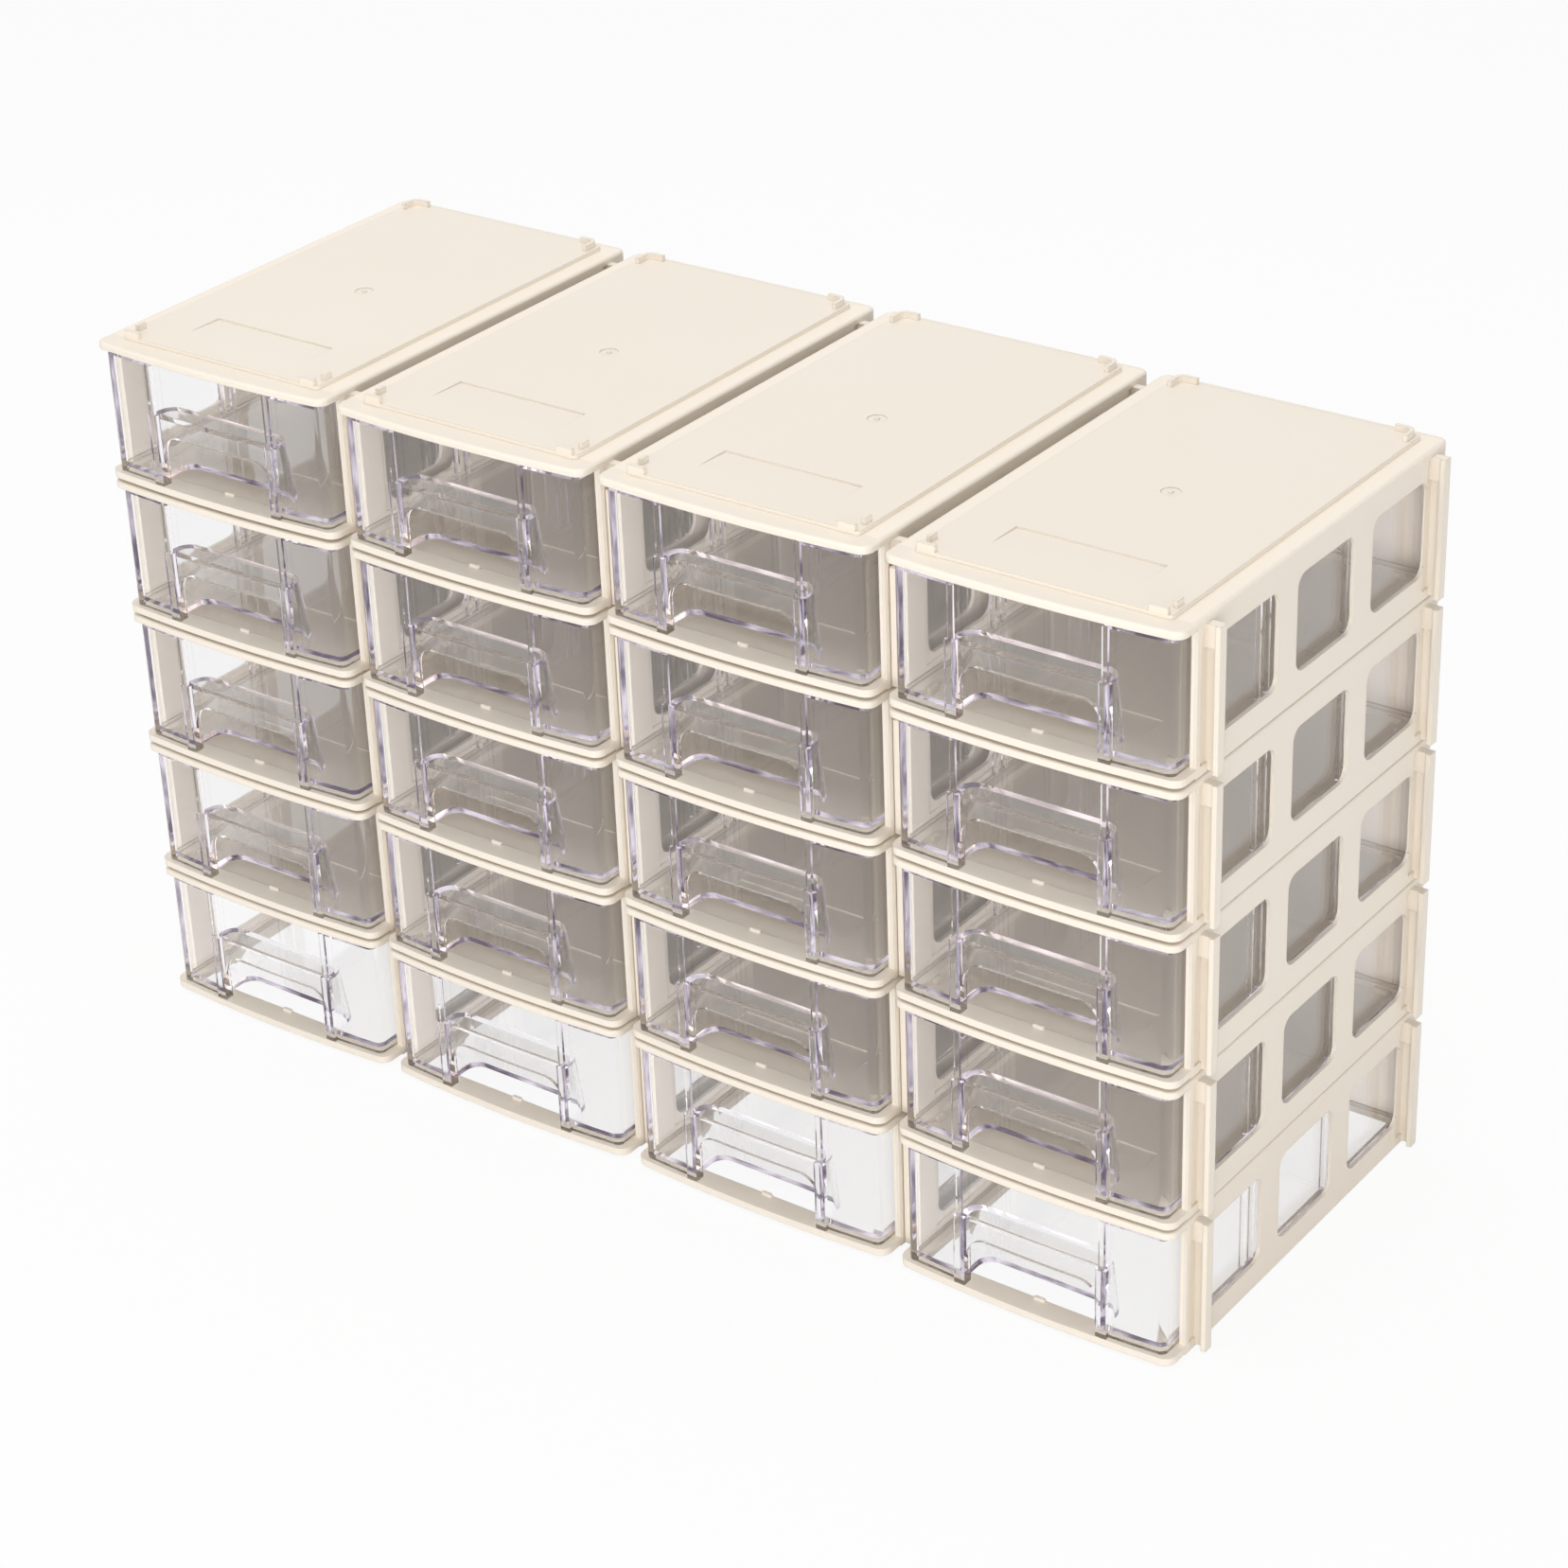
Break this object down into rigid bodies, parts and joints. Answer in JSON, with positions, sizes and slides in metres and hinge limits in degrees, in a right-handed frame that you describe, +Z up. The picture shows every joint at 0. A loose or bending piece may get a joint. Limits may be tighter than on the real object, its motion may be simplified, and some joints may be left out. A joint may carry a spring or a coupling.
{
  "type": "craft storage drawers",
  "caption": "Clip-together block of stacked drawer casings, each with a clear pull-out drawer that has a finger pocket in its front.",
  "frame": {"origin": "centre of the block's footprint, on the surface that it stands on", "axes": "+X to the right along the columns, +Y from the drawer fronts to the back, +Z up; drawers open towards -Y"},
  "size_m": [0.3824, 0.144, 0.2273],
  "materials": {
    "casing_plastic": "warm beige, fine satin moulding",
    "clear_plastic": "clear, glass-like, faint violet at cut edges"
  },
  "bodies": {
    "casings": {"casing_c1_r1": "casing_plastic", "casing_c1_r2": "casing_plastic", "casing_c1_r3": "casing_plastic", "casing_c1_r4": "casing_plastic", "casing_c1_r5": "casing_plastic", "casing_c2_r1": "casing_plastic", "casing_c2_r2": "casing_plastic", "casing_c2_r3": "casing_plastic", "casing_c2_r4": "casing_plastic", "casing_c2_r5": "casing_plastic", "casing_c3_r1": "casing_plastic", "casing_c3_r2": "casing_plastic", "casing_c3_r3": "casing_plastic", "casing_c3_r4": "casing_plastic", "casing_c3_r5": "casing_plastic", "casing_c4_r1": "casing_plastic", "casing_c4_r2": "casing_plastic", "casing_c4_r3": "casing_plastic", "casing_c4_r4": "casing_plastic", "casing_c4_r5": "casing_plastic"},
    "drawer_c1_r1": {"drawer_c1_r1": "clear_plastic"},
    "drawer_c1_r2": {"drawer_c1_r2": "clear_plastic"},
    "drawer_c1_r3": {"drawer_c1_r3": "clear_plastic"},
    "drawer_c1_r4": {"drawer_c1_r4": "clear_plastic"},
    "drawer_c1_r5": {"drawer_c1_r5": "clear_plastic"},
    "drawer_c2_r1": {"drawer_c2_r1": "clear_plastic"},
    "drawer_c2_r2": {"drawer_c2_r2": "clear_plastic"},
    "drawer_c2_r3": {"drawer_c2_r3": "clear_plastic"},
    "drawer_c2_r4": {"drawer_c2_r4": "clear_plastic"},
    "drawer_c2_r5": {"drawer_c2_r5": "clear_plastic"},
    "drawer_c3_r1": {"drawer_c3_r1": "clear_plastic"},
    "drawer_c3_r2": {"drawer_c3_r2": "clear_plastic"},
    "drawer_c3_r3": {"drawer_c3_r3": "clear_plastic"},
    "drawer_c3_r4": {"drawer_c3_r4": "clear_plastic"},
    "drawer_c3_r5": {"drawer_c3_r5": "clear_plastic"},
    "drawer_c4_r1": {"drawer_c4_r1": "clear_plastic"},
    "drawer_c4_r2": {"drawer_c4_r2": "clear_plastic"},
    "drawer_c4_r3": {"drawer_c4_r3": "clear_plastic"},
    "drawer_c4_r4": {"drawer_c4_r4": "clear_plastic"},
    "drawer_c4_r5": {"drawer_c4_r5": "clear_plastic"}
  },
  "joints": [
    {"name": "slide_c1_r1", "type": "slide", "parent": "casings", "child": "drawer_c1_r1", "axis": [0, -1, 0], "range_m": [0, 0.11]},
    {"name": "slide_c1_r2", "type": "slide", "parent": "casings", "child": "drawer_c1_r2", "axis": [0, -1, 0], "range_m": [0, 0.11]},
    {"name": "slide_c1_r3", "type": "slide", "parent": "casings", "child": "drawer_c1_r3", "axis": [0, -1, 0], "range_m": [0, 0.11]},
    {"name": "slide_c1_r4", "type": "slide", "parent": "casings", "child": "drawer_c1_r4", "axis": [0, -1, 0], "range_m": [0, 0.11]},
    {"name": "slide_c1_r5", "type": "slide", "parent": "casings", "child": "drawer_c1_r5", "axis": [0, -1, 0], "range_m": [0, 0.11]},
    {"name": "slide_c2_r1", "type": "slide", "parent": "casings", "child": "drawer_c2_r1", "axis": [0, -1, 0], "range_m": [0, 0.11]},
    {"name": "slide_c2_r2", "type": "slide", "parent": "casings", "child": "drawer_c2_r2", "axis": [0, -1, 0], "range_m": [0, 0.11]},
    {"name": "slide_c2_r3", "type": "slide", "parent": "casings", "child": "drawer_c2_r3", "axis": [0, -1, 0], "range_m": [0, 0.11]},
    {"name": "slide_c2_r4", "type": "slide", "parent": "casings", "child": "drawer_c2_r4", "axis": [0, -1, 0], "range_m": [0, 0.11]},
    {"name": "slide_c2_r5", "type": "slide", "parent": "casings", "child": "drawer_c2_r5", "axis": [0, -1, 0], "range_m": [0, 0.11]},
    {"name": "slide_c3_r1", "type": "slide", "parent": "casings", "child": "drawer_c3_r1", "axis": [0, -1, 0], "range_m": [0, 0.11]},
    {"name": "slide_c3_r2", "type": "slide", "parent": "casings", "child": "drawer_c3_r2", "axis": [0, -1, 0], "range_m": [0, 0.11]},
    {"name": "slide_c3_r3", "type": "slide", "parent": "casings", "child": "drawer_c3_r3", "axis": [0, -1, 0], "range_m": [0, 0.11]},
    {"name": "slide_c3_r4", "type": "slide", "parent": "casings", "child": "drawer_c3_r4", "axis": [0, -1, 0], "range_m": [0, 0.11]},
    {"name": "slide_c3_r5", "type": "slide", "parent": "casings", "child": "drawer_c3_r5", "axis": [0, -1, 0], "range_m": [0, 0.11]},
    {"name": "slide_c4_r1", "type": "slide", "parent": "casings", "child": "drawer_c4_r1", "axis": [0, -1, 0], "range_m": [0, 0.11]},
    {"name": "slide_c4_r2", "type": "slide", "parent": "casings", "child": "drawer_c4_r2", "axis": [0, -1, 0], "range_m": [0, 0.11]},
    {"name": "slide_c4_r3", "type": "slide", "parent": "casings", "child": "drawer_c4_r3", "axis": [0, -1, 0], "range_m": [0, 0.11]},
    {"name": "slide_c4_r4", "type": "slide", "parent": "casings", "child": "drawer_c4_r4", "axis": [0, -1, 0], "range_m": [0, 0.11]},
    {"name": "slide_c4_r5", "type": "slide", "parent": "casings", "child": "drawer_c4_r5", "axis": [0, -1, 0], "range_m": [0, 0.11]}
  ]
}
